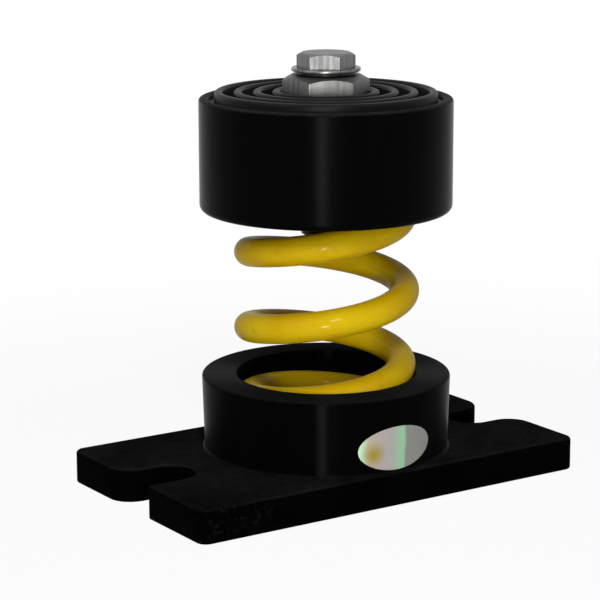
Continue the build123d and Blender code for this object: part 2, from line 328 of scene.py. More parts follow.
def scuff(material, place, reach, shade):
    """Adds pale scuffs and nicks to a rubber material, round one spot of the piece."""
    tree = material.node_tree
    position = piece_position(tree)
    marks = cloud_pattern(tree, position, scale=420, detail=4, distortion=0.8)
    near_spot = spot_share(tree, position, place, reach)
    share = combined(tree, "MULTIPLY", near_spot, stretched(tree, marks, (0.55, 0.75)))
    lay_over(tree, tree.nodes["Principled BSDF"], share, shade)


plate_rubber = rubber_finish("plate_rubber", gloss=0.001, bloom=0.3, dust=0.34, relief=0.02)
scuff(plate_rubber, SCUFF_PLACE, SCUFF_REACH, SCUFF_GREY)
base_cup_rubber = rubber_finish(
    "base_cup_rubber", gloss=0.009, bloom=0.12, dust=0.24, relief=0.02, smoothest=0.24, roughest=0.34,
    turned=1,
)
half_length = base_high.x
half_width = base_high.y
half_slot = SLOT_WIDTH / 2
slot_inner = half_length - SLOT_REACH
bm = bmesh.new()
plate_outline = [
    (-half_length, -half_width), (half_length, -half_width), (half_length, -half_slot),
    (slot_inner, -half_slot), (slot_inner, half_slot), (half_length, half_slot),
    (half_length, half_width), (-half_length, half_width), (-half_length, half_slot),
    (-slot_inner, half_slot), (-slot_inner, -half_slot), (-half_length, -half_slot),
]
bm.faces.new([bm.verts.new((x, y, base_low.z)) for x, y in plate_outline])
for side in (1, -1):
    for corner_y in (half_width, -half_width):
        round_corner(bm, (side * half_length, corner_y, base_low.z), PLATE_CORNER)
    for corner_y in (half_slot, -half_slot):
        slot_end = (side * slot_inner, corner_y, base_low.z)
        round_corner(bm, slot_end, half_slot * SLOT_END_SHARE, segments=16)
        mouth_corner = SLOT_SHARP_CORNER if side < 0 and corner_y < 0 else SLOT_WIDE_CORNER
        round_corner(bm, (side * half_length, corner_y, base_low.z), mouth_corner, segments=12)
raised = bmesh.ops.extrude_face_region(bm, geom=bm.faces[:])
raised_verts = [g for g in raised["geom"] if isinstance(g, bmesh.types.BMVert)]
bmesh.ops.translate(bm, vec=(0, 0, PLATE_THICKNESS), verts=raised_verts)
bmesh.ops.recalc_face_normals(bm, faces=bm.faces)
round_slab_edge(bm, plate_top, PLATE_TOP_ROUND)
round_slab_edge(bm, base_low.z, PLATE_BOTTOM_ROUND)
base_plate = finished_piece(bm, "base_plate_moulding", plate_rubber)

bm = bmesh.new()
cup_root = plate_top - CUP_ROOT
spun_section(
    bm,
    [
        (CUP_BORE, cup_root),
        (BASE_CUP_FOOT + BASE_CUP_FLARE, cup_root),
        (BASE_CUP_FOOT + BASE_CUP_FLARE, plate_top),
        (BASE_CUP_FOOT, plate_top + BASE_CUP_FLARE),
        (BASE_CUP_RIM, base_high.z),
        (CUP_BORE, base_high.z),
    ],
    rounds=[
        ((BASE_CUP_FOOT, plate_top + BASE_CUP_FLARE), BASE_CUP_FLARE / 2, 3),
        ((BASE_CUP_RIM, base_high.z), CUP_RIM_ROUND, 5),
        ((CUP_BORE, base_high.z), CUP_BORE_ROUND, 4),
    ],
)
base_cup = finished_piece(bm, "base_cup_moulding", base_cup_rubber)
for piece in (base_plate, base_cup):
    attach(piece, "base")
    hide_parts("base_housing")


# Oval label. Thin silvery foil with a soft rainbow sheen painted into its colour as bands along it, and
# nothing printed on it, stuck on the base cup's wall. It is cut as a flat oval and bends round the wall.
LABEL_GAP = 0.0001
LABEL_THICKNESS = 0.0002
LABEL_RINGS = 10
LABEL_STEPS = 96
LABEL_MERGE_DISTANCE = 1e-6
FOIL_SILVER = (0.32, 0.32, 0.30, 1)
FOIL_ROSE = (0.355, 0.30, 0.28, 1)
FOIL_CREAM = (0.38, 0.34, 0.25, 1)
FOIL_GREEN = (0.25, 0.45, 0.27, 1)
FOIL_PALE_GREEN = (0.43, 0.69, 0.45, 1)
FOIL_GREY = (0.195, 0.20, 0.185, 1)
FOIL_GOLD = (0.27, 0.20, 0.006, 1)
FOIL_SHEEN_STOPS = (
    (0.07, FOIL_PALE_GREEN), (0.17, FOIL_CREAM), (0.32, FOIL_ROSE), (0.47, FOIL_SILVER),
    (0.58, FOIL_GREEN), (0.64, FOIL_GREEN), (0.67, FOIL_GREY), (1.0, FOIL_GREY),
)
FOIL_CRINKLE_DEPTH = 0.0002
GOLD_PATCH_ALONG = -0.0094
GOLD_PATCH_RISE = -0.0014
GOLD_PATCH_REACH = 0.0058

label_low, label_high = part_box("oval_label")


def holographic_foil(name, half_length, middle_height):
    """Silver foil whose painted sheen changes along its length, with a soft patch of gold near one end."""
    material, tree, shader = new_finish(name)
    shader.inputs["Metallic"].default_value = 0.35
    shader.inputs["Coat Weight"].default_value = 0.15
    shader.inputs["Coat Roughness"].default_value = 0.12
    position = piece_position(tree)
    spread = tree.nodes.new("ShaderNodeMapping")
    spread.inputs["Location"].default_value = (0.5, 0, 0)
    spread.inputs["Scale"].default_value = (0.5 / half_length, 1, 1)
    lead(tree, position, spread.inputs["Vector"])
    split = tree.nodes.new("ShaderNodeSeparateXYZ")
    lead(tree, spread.outputs["Vector"], split.inputs["Vector"])
    drift = cloud_pattern(tree, position, scale=110)
    # Painted sheen: the foil's rainbow tints are fixed colour bands along its length.
    painted_sheen_bands = tree.nodes.new("ShaderNodeValToRGB")
    for stop in FOIL_SHEEN_STOPS[2:]:
        painted_sheen_bands.color_ramp.elements.new(stop[0])
    for element, stop in zip(painted_sheen_bands.color_ramp.elements, FOIL_SHEEN_STOPS):
        element.position, element.color = stop
    lead(tree, combined(tree, "MULTIPLY_ADD", drift, 0.08, split.outputs["X"]), painted_sheen_bands.inputs["Fac"])
    lead(tree, painted_sheen_bands.outputs["Color"], shader.inputs["Base Color"])
    gold_depth = math.sqrt(BASE_CUP_RIM**2 - GOLD_PATCH_ALONG**2)
    gold_place = (GOLD_PATCH_ALONG, -gold_depth, middle_height + GOLD_PATCH_RISE)
    gold_share = spot_share(tree, position, gold_place, GOLD_PATCH_REACH, soft=True)
    lay_over(tree, shader, gold_share, FOIL_GOLD)
    lead(tree, stretched(tree, drift, target=(0.26, 0.44)), shader.inputs["Roughness"])
    crinkle = cloud_pattern(tree, position, scale=260)
    emboss(tree, shader, crinkle, relief=0.12, depth=FOIL_CRINKLE_DEPTH)
    return material


label_half_length = label_high.x
label_half_height = (label_high.z - label_low.z) / 2
label_height = (label_high.z + label_low.z) / 2
bm = bmesh.new()
spoke = [bm.verts.new((step / LABEL_RINGS, 0, 0)) for step in range(LABEL_RINGS + 1)]
for inner, outer in zip(spoke, spoke[1:]):
    bm.edges.new((inner, outer))
bmesh.ops.spin(
    bm, geom=bm.verts[:] + bm.edges[:], cent=(0, 0, 0), axis=(0, 1, 0), angle=math.tau, steps=LABEL_STEPS,
    use_merge=True,
)
bmesh.ops.remove_doubles(bm, verts=bm.verts, dist=LABEL_MERGE_DISTANCE)
bmesh.ops.scale(bm, vec=(label_half_length, 1, label_half_height), verts=bm.verts)
bmesh.ops.translate(bm, vec=(0, 0, label_height), verts=bm.verts)
wall_slope = (BASE_CUP_RIM - BASE_CUP_FOOT) / (base_high.z - plate_top - BASE_CUP_FLARE)
for vert in bm.verts:
    wall = BASE_CUP_FOOT + (vert.co.z - plate_top - BASE_CUP_FLARE) * wall_slope + LABEL_GAP
    vert.co.y = -math.sqrt(wall**2 - vert.co.x**2)
bmesh.ops.recalc_face_normals(bm, faces=bm.faces)
if sum(f.normal.y for f in bm.faces) > 0:
    bmesh.ops.reverse_faces(bm, faces=bm.faces)
bmesh.ops.solidify(bm, geom=bm.faces[:], thickness=LABEL_THICKNESS)
bmesh.ops.recalc_face_normals(bm, faces=bm.faces)
foil = holographic_foil("blank_foil", label_half_length, label_height)
oval_label = finished_piece(bm, "foil_oval", foil, sharp_angle=35)
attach(oval_label, "base")
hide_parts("oval_label")


# Coil spring. Round steel wire wound right-hand, the end turns closed and ground flat to their seats, then
# coated in a thick glossy yellow that flows a little before it hardens.
WIRE_RADIUS = 0.0052
SPRING_SIDE_CLEARANCE = 0.0003
SPRING_SWELL = 0.0012
SPRING_TURNS = 5.6
CLOSED_TURNS = 1.0
OPENING_TURNS = 0.8
CLOSED_GAP = 0.0002
GROUND_DEPTH = 0.0024
START_ANGLE = 20
POINTS_PER_TURN = 96
WIRE_SIDES = 14
COATING_PEEL_DEPTH = 0.00025
YELLOW = (0.50, 0.345, 0.003, 1)
YELLOW_DEEP = (0.44, 0.265, 0.002, 1)
YELLOW_GRIME = (0.20, 0.12, 0.003, 1)

spring_low, spring_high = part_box("coil_spring")
closed_pitch = 2 * WIRE_RADIUS + CLOSED_GAP
tip_height = WIRE_RADIUS - GROUND_DEPTH
end_radius = CUP_BORE - SPRING_SIDE_CLEARANCE - WIRE_RADIUS
half_turns = SPRING_TURNS / 2
free_turns = half_turns - CLOSED_TURNS - OPENING_TURNS
half_rise = (spring_high.z - spring_low.z) / 2 - tip_height
pitch_gain = (half_rise - closed_pitch * half_turns) / (free_turns + OPENING_TURNS / 2)


def wire_centre(turns):
    """Centre of the wire, so many turns up from the lower tip."""
    from_tip = min(turns, SPRING_TURNS - turns)
    opening = min(max(from_tip - CLOSED_TURNS, 0), OPENING_TURNS)
    beyond = max(from_tip - CLOSED_TURNS - OPENING_TURNS, 0)
    rise = tip_height + closed_pitch * from_tip + pitch_gain * (opening**2 / (2 * OPENING_TURNS) + beyond)
    height = spring_low.z + rise if turns < half_turns else spring_high.z - rise
    from_middle = min(abs(turns - half_turns) / (free_turns + OPENING_TURNS / 4), 1)
    radius = end_radius + SPRING_SWELL * (1 + math.cos(math.pi * from_middle)) / 2
    angle = math.radians(START_ANGLE) + math.tau * turns
    return radius * math.cos(angle), radius * math.sin(angle), height


def flowed_coating(name):
    """Thick glossy coating: two shades that drift into each other, faint orange peel, specks of grime."""
    material, tree, shader = new_finish(name)
    shader.inputs["Specular IOR Level"].default_value = 0.01
    shader.inputs["Coat Weight"].default_value = 0.08
    shader.inputs["Coat Roughness"].default_value = 0.12
    position = piece_position(tree)
    drift = stretched(tree, cloud_pattern(tree, position, scale=42, detail=3), (0.38, 0.68))
    lead(tree, blended_shade(tree, drift, YELLOW, YELLOW_DEEP), shader.inputs["Base Color"])
    specks = cloud_pattern(tree, position, scale=260, detail=4)
    lay_over(tree, shader, stretched(tree, specks, (0.64, 0.78), (0, 0.35)), YELLOW_GRIME)
    lead(tree, stretched(tree, specks, target=(0.30, 0.46)), shader.inputs["Roughness"])
    peel = cloud_pattern(tree, position, scale=620, detail=1)
    emboss(tree, shader, peel, relief=0.12, depth=COATING_PEEL_DEPTH)
    return material


def cut_flat(bm, point, direction):
    """Cuts away what lies beyond a plane and closes the cut with one flat face."""
    cut = bmesh.ops.bisect_plane(
        bm, geom=bm.verts[:] + bm.edges[:] + bm.faces[:], dist=MERGE_DISTANCE, plane_co=point,
        plane_no=direction, clear_outer=True,
    )
    rim = [g for g in cut["geom_cut"] if isinstance(g, bmesh.types.BMEdge)]
    bmesh.ops.edgeloop_fill(bm, edges=rim)


wire_curve = bpy.data.curves.new("wire_line", "CURVE")
wire_curve.dimensions = "3D"
wire_curve.twist_mode = "Z_UP"
wire_curve.bevel_depth = WIRE_RADIUS
wire_curve.bevel_resolution = WIRE_SIDES
wire_curve.use_fill_caps = True
wire_line = wire_curve.splines.new("POLY")
point_count = round(SPRING_TURNS * POINTS_PER_TURN)
wire_line.points.add(point_count)
for index, point in enumerate(wire_line.points):
    point.co = (*wire_centre(SPRING_TURNS * index / point_count), 1)
wire_object = bpy.data.objects.new("wire_line", wire_curve)
bpy.context.scene.collection.objects.link(wire_object)
bpy.context.view_layer.update()
swept_wire = wire_object.evaluated_get(bpy.context.evaluated_depsgraph_get())
bm = bmesh.new()
bm.from_mesh(bpy.data.meshes.new_from_object(swept_wire))
bpy.data.objects.remove(wire_object)
bmesh.ops.remove_doubles(bm, verts=bm.verts, dist=MERGE_DISTANCE)
bmesh.ops.recalc_face_normals(bm, faces=bm.faces)
cut_flat(bm, (0, 0, spring_low.z), (0, 0, -1))
cut_flat(bm, (0, 0, spring_high.z), (0, 0, 1))
coated_spring = finished_piece(bm, "coated_spring", flowed_coating("yellow_coating"), sharp_angle=50)
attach(coated_spring, "base")
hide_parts("coil_spring")
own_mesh(coated_spring)


# Load plate. A turned steel plate with a threaded boss, under the top cup's roof. The spring pushes on it and
# the leveling screw is threaded into it. It is left as turned, with a thin film of oil.
LOAD_PLATE_THICKNESS = 0.006
LOAD_BOSS_RADIUS = 0.014
LOAD_BOSS_ROUND = 0.0015
LOAD_EDGE_ROUND = 0.0004
LOAD_PLATE_STEPS = 96
TURNED_RING_DEPTH = 0.0001
SCREW_RADIUS = 0.009
STEEL = (0.30, 0.30, 0.29, 1)
STEEL_DARK = (0.13, 0.125, 0.12, 1)

load_low, load_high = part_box("load_plate")


def turned_steel(name):
    """Turned steel: fine rings round the axis and darker patches of old oil."""
    material, tree, shader = new_finish(name)
    shader.inputs["Metallic"].default_value = 1
    position = piece_position(tree)
    patches = cloud_pattern(tree, position, scale=60, detail=4)
    lead(tree, blended_shade(tree, patches, STEEL, STEEL_DARK), shader.inputs["Base Color"])
    lead(tree, stretched(tree, patches, target=(0.35, 0.6)), shader.inputs["Roughness"])
    rings = tree.nodes.new("ShaderNodeTexWave")
    rings.wave_type = "RINGS"
    rings.rings_direction = "Z"
    rings.inputs["Scale"].default_value = 900
    rings.inputs["Distortion"].default_value = 0.6
    lead(tree, position, rings.inputs["Vector"])
    emboss(tree, shader, rings.outputs["Fac"], relief=0.25, depth=TURNED_RING_DEPTH)
    return material


bm = bmesh.new()
load_seat = load_high.z - LOAD_PLATE_THICKNESS
spun_section(
    bm,
    [
        (SCREW_RADIUS, load_low.z),
        (LOAD_BOSS_RADIUS, load_low.z),
        (LOAD_BOSS_RADIUS, load_seat),
        (load_high.x, load_seat),
        (load_high.x, load_high.z),
        (SCREW_RADIUS, load_high.z),
    ],
    rounds=[
        ((LOAD_BOSS_RADIUS, load_low.z), LOAD_BOSS_ROUND, 4),
        ((LOAD_BOSS_RADIUS, load_seat), LOAD_BOSS_ROUND, 4),
        ((load_high.x, load_seat), LOAD_EDGE_ROUND, 2),
        ((load_high.x, load_high.z), LOAD_EDGE_ROUND, 2),
    ],
    steps=LOAD_PLATE_STEPS,
)
load_plate = finished_piece(bm, "turned_load_plate", turned_steel("turned_steel"))
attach(load_plate, "top")
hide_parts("load_plate")


# Top cup. A thick-walled cup in the same hard black rubber, open downwards over the spring's upper end, with
# a shallow round recess in its face for the ridged pad.
TOP_RIM_WIDTH = 0.0035
RECESS_DEPTH = 0.0035
ROOF_THICKNESS = 0.0085
TOP_LOW_ROUND = 0.0025
TOP_HIGH_ROUND = 0.0012
RECESS_EDGE_ROUND = 0.0006
SCREW_HOLE_CLEARANCE = 0.00075

top_low, top_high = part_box("top_housing")
screw_hole = SCREW_RADIUS + SCREW_HOLE_CLEARANCE
recess_radius = top_high.x - TOP_RIM_WIDTH
recess_floor = top_high.z - RECESS_DEPTH
roof_height = top_high.z - ROOF_THICKNESS
top_rubber = rubber_finish(
    "top_cup_rubber", gloss=0.015, bloom=0.1, dust=0.7, relief=0.02, smoothest=0.30, roughest=0.40,
    turned=0.92,
)
bm = bmesh.new()
spun_section(
    bm,
    [
        (screw_hole, roof_height),
        (CUP_BORE, roof_height),
        (CUP_BORE, top_low.z),
        (top_high.x, top_low.z),
        (top_high.x, top_high.z),
        (recess_radius, top_high.z),
        (recess_radius, recess_floor),
        (screw_hole, recess_floor),
    ],
    rounds=[
        ((CUP_BORE, top_low.z), CUP_BORE_ROUND, 4),
        ((top_high.x, top_low.z), TOP_LOW_ROUND, 6),
        ((top_high.x, top_high.z), TOP_HIGH_ROUND, 6),
        ((recess_radius, top_high.z), RECESS_EDGE_ROUND, 3),
    ],
)
top_cup = finished_piece(bm, "top_cup_moulding", top_rubber)
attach(top_cup, "top")
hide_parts("top_housing")


# Ridged pad. A disc of soft black rubber with concentric ridges that grip the machine's foot, and a slightly
# lower hub under the screw's head. It lies loose in the top cup's recess.
PAD_BASE = 0.0018
RIDGE_WIDTH = 0.0031
RIDGE_PITCH = 0.0068
RIDGE_DRAFT = 0.00012
RIDGE_CREST_ROUND = 0.0012
RIDGE_FOOT_ROUND = 0.0004
OUTER_RIDGE_MARGIN = 0.002
HUB_WIDTH = 0.00255
HUB_DROP = 0.0009

pad_low, pad_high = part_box("top_pad")
pad_face = pad_low.z + PAD_BASE
hub_radius = screw_hole + HUB_WIDTH
outer_ridge = recess_radius - OUTER_RIDGE_MARGIN
ridge_count = int((outer_ridge - RIDGE_WIDTH - hub_radius) / RIDGE_PITCH) + 1
hub_top = pad_high.z - HUB_DROP
pad_section = [
    (pad_high.x, pad_face), (pad_high.x, pad_low.z), (screw_hole, pad_low.z), (screw_hole, hub_top),
    (hub_radius, hub_top), (hub_radius, pad_face),
]
pad_rounds = [((hub_radius, hub_top), RIDGE_CREST_ROUND, 5), ((hub_radius, pad_face), RIDGE_FOOT_ROUND, 2)]
for index in reversed(range(ridge_count)):
    outer = outer_ridge - index * RIDGE_PITCH
    inner = outer - RIDGE_WIDTH
    pad_section += [
        (inner, pad_face), (inner + RIDGE_DRAFT, pad_high.z),
        (outer - RIDGE_DRAFT, pad_high.z), (outer, pad_face),
    ]
    for crest in (inner + RIDGE_DRAFT, outer - RIDGE_DRAFT):
        pad_rounds.append(((crest, pad_high.z), RIDGE_CREST_ROUND, 5))
    for foot in (inner, outer):
        pad_rounds.append(((foot, pad_face), RIDGE_FOOT_ROUND, 2))
pad_rubber = rubber_finish(
    "pad_rubber", gloss=0.08, bloom=0.5, dust=0.3, relief=0.1, smoothest=0.35, roughest=0.5, dullness=0.05,
)
bm = bmesh.new()
spun_section(bm, pad_section, rounds=pad_rounds)
ridged_pad = finished_piece(bm, "ridged_pad_moulding", pad_rubber)
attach(ridged_pad, "top")
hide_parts("top_pad")


# Leveling screw. A hexagon head on a coarse threaded shank, cut from bar, zinc plated, and drilled from above
# for the clamping bolt. The drawn bar leaves upright streaks on the hexagon's flats.
SCREW_ACROSS_FLATS = 0.027
SCREW_FACE_SHARE = 0.91
SCREW_HEAD_TURN = 8.0
SCREW_HEAD_HEIGHT = 0.0065
SCREW_PITCH = 0.0025
SCREW_THREAD_DEPTH = 0.0014
SCREW_END_CHAMFER = 0.0015
SCREW_CREST_CLEARANCE = 0.0001
BOLT_HOLE_RADIUS = 0.006
CORNER_SLOPE = 30
FRONT_ANGLE = 235.5
HEAD_STEPS = 144
FLAT_EDGE_ROUND = 0.00022
THREAD_STEPS = 72
THREAD_CREST_SHARE = 0.06
THREAD_ROOT_SHARE = 0.43
THREAD_MERGE_DISTANCE = 1e-6
PLATING_GRAIN_DEPTH = 0.0001
ZINC_BRIGHT = (0.215, 0.219, 0.212, 1)
ZINC_DULL = (0.13, 0.132, 0.127, 1)
THREAD_BRIGHT = (0.16, 0.125, 0.105, 1)
THREAD_DARK = (0.030, 0.024, 0.022, 1)
PAINTED_SHADE_DARK = (0.055, 0.056, 0.052, 1)
SHADED_SLOPE = (0.25, 0.8)

screw_low, screw_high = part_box("leveling_screw")


def plated_steel_skin():
    """Plate on drawn steel: upright drawing streaks and cloudy patches of wear."""
    group, entry, leave = skin_group("plated_steel_skin", {
        "Bright": ZINC_BRIGHT,
        "Dull": ZINC_DULL,
        "Streak": 0.5,
        "Smoothest": 0.30,
        "Roughest": 0.38,
    })
    position = piece_position(group)
    drawn = group.nodes.new("ShaderNodeMapping")
    drawn.inputs["Scale"].default_value = (1, 1, 0.05)
    lead(group, position, drawn.inputs["Vector"])
    streaks = cloud_pattern(group, drawn.outputs["Vector"], scale=900, detail=3)
    patches = cloud_pattern(group, position, scale=190, detail=3)
    together = group.nodes.new("ShaderNodeMix")
    lead(group, entry["Streak"], together.inputs[0])
    lead(group, patches, together.inputs[2])
    lead(group, streaks, together.inputs[3])
    wear = stretched(group, together.outputs[0], (0.40, 0.62))
    lead(group, blended_shade(group, wear, entry["Bright"], entry["Dull"]), leave["Color"])
    sheen = stretched(group, wear, target=(entry["Smoothest"], entry["Roughest"]))
    lead(group, sheen, leave["Roughness"])
    lead(group, together.outputs[0], leave["Height"])
    return group


def plated_finish(name, bright, dull, streak, smoothest=0.30, roughest=0.38):
    """A plated steel material with its own shades, share of upright streaks and gloss."""
    material, tree, shader = new_finish(name)
    shader.inputs["Metallic"].default_value = 1
    skin = bpy.data.node_groups.get("plated_steel_skin") or plated_steel_skin()
    values = {
        "Bright": bright, "Dull": dull, "Streak": streak, "Smoothest": smoothest, "Roughest": roughest,
    }
    put_on_skin(tree, shader, skin, values, relief=0.2, depth=PLATING_GRAIN_DEPTH)
    return material


def painted_washer_shade(material, shade, slope_range):
    """Darkens the faces of a plated piece that look up, as painted shade under the washers above it."""
    tree = material.node_tree
    lay_over(tree, tree.nodes["Principled BSDF"], upward_share(tree, slope_range), shade)


def hexagon_head(bm, across_flats, face_share, bore, low, high, turn):
    """Turns a blank with its top corner sloped off, then cuts the six flats."""
    flat_radius = across_flats / 2
    corner_radius = flat_radius / math.cos(math.radians(30))
    face_radius = flat_radius * face_share
    drop = (corner_radius - face_radius) * math.tan(math.radians(CORNER_SLOPE))
    blank = [
        (bore, low), (corner_radius, low), (corner_radius, high - drop), (face_radius, high), (bore, high),
    ]
    spun_section(bm, blank, steps=HEAD_STEPS)
    for flat in range(6):
        angle = math.radians(FRONT_ANGLE + turn + 60 * flat)
        direction = Vector((math.cos(angle), math.sin(angle), 0))
        cut_flat(bm, direction * flat_radius, direction)
    bmesh.ops.recalc_face_normals(bm, faces=bm.faces)
    corners = [
        e for e in bm.edges
        if (e.verts[0].co.xy - e.verts[1].co.xy).length < SAME_PLACE
        and e.calc_face_angle(0) > SHARP_EDGE_ANGLE and e.verts[0].co.xy.length > flat_radius
    ]
    bmesh.ops.bevel(
        bm, geom=corners, offset=FLAT_EDGE_ROUND, segments=2, profile=0.5, affect="EDGES", material=-1,
        clamp_overlap=True,
    )


def threaded_shank(bm, radius, pitch, depth, low, high, end_chamfer):
    """Sweeps one tooth of the thread up its helix, then trims both ends and slopes off the lower one."""
    tooth = [
        (-0.5, depth), (-THREAD_ROOT_SHARE, depth), (-THREAD_CREST_SHARE, 0),
        (THREAD_CREST_SHARE, 0), (THREAD_ROOT_SHARE, depth), (0.5, depth),
    ]
    start = low - pitch
    turns = math.ceil((high - low) / pitch) + 2
    verts = [bm.verts.new((radius - cut, 0, start + share * pitch)) for share, cut in tooth]
    for lower, upper in zip(verts, verts[1:]):
        bm.edges.new((lower, upper))
    bmesh.ops.spin(
        bm, geom=bm.verts[:] + bm.edges[:], cent=(0, 0, 0), axis=(0, 0, 1), angle=math.tau * turns,
        steps=THREAD_STEPS * turns, dvec=(0, 0, pitch / THREAD_STEPS),
    )
    bmesh.ops.remove_doubles(bm, verts=bm.verts, dist=THREAD_MERGE_DISTANCE)
    bmesh.ops.recalc_face_normals(bm, faces=bm.faces)
    cut_flat(bm, (0, 0, low), (0, 0, -1))
    cut_flat(bm, (0, 0, high), (0, 0, 1))
    for vert in bm.verts:
        reach = radius - end_chamfer + (vert.co.z - low)
        if vert.co.xy.length > reach:
            bmesh.ops.scale(bm, vec=(reach / vert.co.xy.length, reach / vert.co.xy.length, 1), verts=[vert])
    bmesh.ops.recalc_face_normals(bm, faces=bm.faces)


head_zinc = plated_finish(
    "leveling_screw_zinc", ZINC_BRIGHT, ZINC_DULL, streak=0.6, smoothest=0.40, roughest=0.46,
)
# Painted shade: the head's top and sloped corners are darkened for the shadow under the washers.
painted_washer_shade(head_zinc, PAINTED_SHADE_DARK, SHADED_SLOPE)
head_seat = screw_high.z - SCREW_HEAD_HEIGHT
bm = bmesh.new()
hexagon_head(
    bm, SCREW_ACROSS_FLATS, SCREW_FACE_SHARE, BOLT_HOLE_RADIUS, head_seat, screw_high.z, SCREW_HEAD_TURN
)
screw_head = finished_piece(bm, "leveling_screw_head", head_zinc, sharp_angle=25)
bm = bmesh.new()
screw_crest = SCREW_RADIUS - SCREW_CREST_CLEARANCE
threaded_shank(
    bm, screw_crest, SCREW_PITCH, SCREW_THREAD_DEPTH, screw_low.z, head_seat, SCREW_END_CHAMFER
)
thread_steel = plated_finish("greased_thread_steel", THREAD_BRIGHT, THREAD_DARK, streak=0.1)
screw_shank = finished_piece(bm, "leveling_screw_shank", thread_steel, sharp_angle=35)
for piece in (screw_head, screw_shank):
    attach(piece, "screw")
    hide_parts("leveling_screw")


# Lock washer. A ring of dark phosphated spring steel with a sloping split at the back, pressed flat between
# the flat washer and the leveling screw's head.
LOCK_WASHER_BORE_RADIUS = 0.0063
LOCK_WASHER_SPLIT = 0.0014
LOCK_WASHER_SPLIT_SLOPE = 20
LOCK_WASHER_EDGE_ROUND = 0.00025
LOCK_WASHER_RIM_ANGLE = 1.0
LOCK_WASHER_STEPS = 96
PHOSPHATE_GREY = (0.035, 0.034, 0.036, 1)
PHOSPHATE_DARK = (0.012, 0.012, 0.013, 1)

lock_low, lock_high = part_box("lock_washer")
bm = bmesh.new()
lock_middle = (lock_high.x + LOCK_WASHER_BORE_RADIUS) / 2
lock_verts = [
    bm.verts.new((0, radius, height))
    for radius, height in (
        (LOCK_WASHER_BORE_RADIUS, lock_low.z), (lock_high.x, lock_low.z),
        (lock_high.x, lock_high.z), (LOCK_WASHER_BORE_RADIUS, lock_high.z),
    )
]
lock_end = bm.faces.new(lock_verts)
half_split = LOCK_WASHER_SPLIT / 2 / lock_middle
bmesh.ops.rotate(bm, matrix=Matrix.Rotation(half_split, 3, "Z"), verts=bm.verts)
bmesh.ops.spin(
    bm, geom=[lock_end], cent=(0, 0, 0), axis=(0, 0, 1), angle=math.tau - 2 * half_split,
    steps=LOCK_WASHER_STEPS,
)
for vert in bm.verts:
    lean = (lock_high.z + lock_low.z) / 2 - vert.co.z
    lean *= math.tan(math.radians(LOCK_WASHER_SPLIT_SLOPE)) / lock_middle
    vert.co.rotate(Matrix.Rotation(lean, 3, "Z"))
bmesh.ops.remove_doubles(bm, verts=bm.verts, dist=MERGE_DISTANCE)
bmesh.ops.recalc_face_normals(bm, faces=bm.faces)
rims = [e for e in bm.edges if e.is_manifold and e.calc_face_angle(0) > LOCK_WASHER_RIM_ANGLE]
bmesh.ops.bevel(
    bm, geom=rims, offset=LOCK_WASHER_EDGE_ROUND, segments=2, profile=0.5, affect="EDGES", material=-1,
    clamp_overlap=True,
)
lock_steel = plated_finish("phosphated_spring_steel", PHOSPHATE_GREY, PHOSPHATE_DARK, streak=0.05)
lock_washer = finished_piece(bm, "split_lock_washer", lock_steel, sharp_angle=50)
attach(lock_washer, "washer")
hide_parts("lock_washer")


# Flat washer. A plain punched washer, zinc plated, between the clamping bolt's head and the lock washer. The
# punch leaves its upper rim a little rounded.
WASHER_BORE_RADIUS = 0.0065
WASHER_RIM_ROUND = 0.0004
WASHER_BRIGHT = (0.18, 0.183, 0.177, 1)
WASHER_DULL = (0.09, 0.092, 0.088, 1)

washer_low, washer_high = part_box("flat_washer")
washer_zinc = plated_finish("washer_zinc", WASHER_BRIGHT, WASHER_DULL, streak=0.1)
bm = bmesh.new()
spun_section(
    bm,
    [
        (WASHER_BORE_RADIUS, washer_low.z),
        (washer_high.x, washer_low.z),
        (washer_high.x, washer_high.z),
        (WASHER_BORE_RADIUS, washer_high.z),
    ],
    rounds=[
        ((washer_high.x, washer_high.z), WASHER_RIM_ROUND, 4),
        ((washer_high.x, washer_low.z), WASHER_RIM_ROUND / 2, 2),
    ],
    steps=HEAD_STEPS,
)
punched_washer = finished_piece(bm, "punched_washer", washer_zinc, sharp_angle=50)
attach(punched_washer, "washer")
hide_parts("flat_washer")


# Clamping bolt. A standard hexagon bolt, zinc plated, that clamps the machine's foot and threads into the
# leveling screw.
BOLT_ACROSS_FLATS = 0.018
BOLT_FACE_SHARE = 0.95
BOLT_HEAD_TURN = -2.7
BOLT_HEAD_HEIGHT = 0.0053
BOLT_PITCH = 0.00175
BOLT_THREAD_DEPTH = 0.001
BOLT_END_CHAMFER = 0.001
BOLT_CREST = 0.00595
BOLT_BRIGHT = (0.178, 0.181, 0.178, 1)
BOLT_DULL = (0.146, 0.148, 0.145, 1)

bolt_low, bolt_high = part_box("cap_bolt")
bolt_zinc = plated_finish(
    "clamping_bolt_zinc", BOLT_BRIGHT, BOLT_DULL, streak=0.8, smoothest=0.50, roughest=0.58,
)
bolt_seat = bolt_high.z - BOLT_HEAD_HEIGHT
bm = bmesh.new()
hexagon_head(bm, BOLT_ACROSS_FLATS, BOLT_FACE_SHARE, 0, bolt_seat, bolt_high.z, BOLT_HEAD_TURN)
bolt_head = finished_piece(bm, "clamping_bolt_head", bolt_zinc, sharp_angle=25)
bm = bmesh.new()
threaded_shank(bm, BOLT_CREST, BOLT_PITCH, BOLT_THREAD_DEPTH, bolt_low.z, bolt_seat, BOLT_END_CHAMFER)
bolt_shank = finished_piece(bm, "clamping_bolt_shank", bolt_zinc, sharp_angle=35)
for piece in (bolt_head, bolt_shank):
    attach(piece, "screw")
    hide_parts("cap_bolt")


# Studio. A wide white floor that keeps a soft shadow near the object, a high and a low soft light in front,
# two larger and weaker ones from the left and the right, and dim light from all round.
FLOOR_RADIUS = 9.0
FLOOR_STEPS = 64
FLOOR_WHITE = (0.92, 0.92, 0.92, 1)
BACKDROP_WHITE = (1, 1, 1, 1)
GLOW_SHARE_NEAR = 0.92
SHADOW_REACH = (0.13, 0.42)
ROOM_GREY = (0.05, 0.05, 0.05, 1)


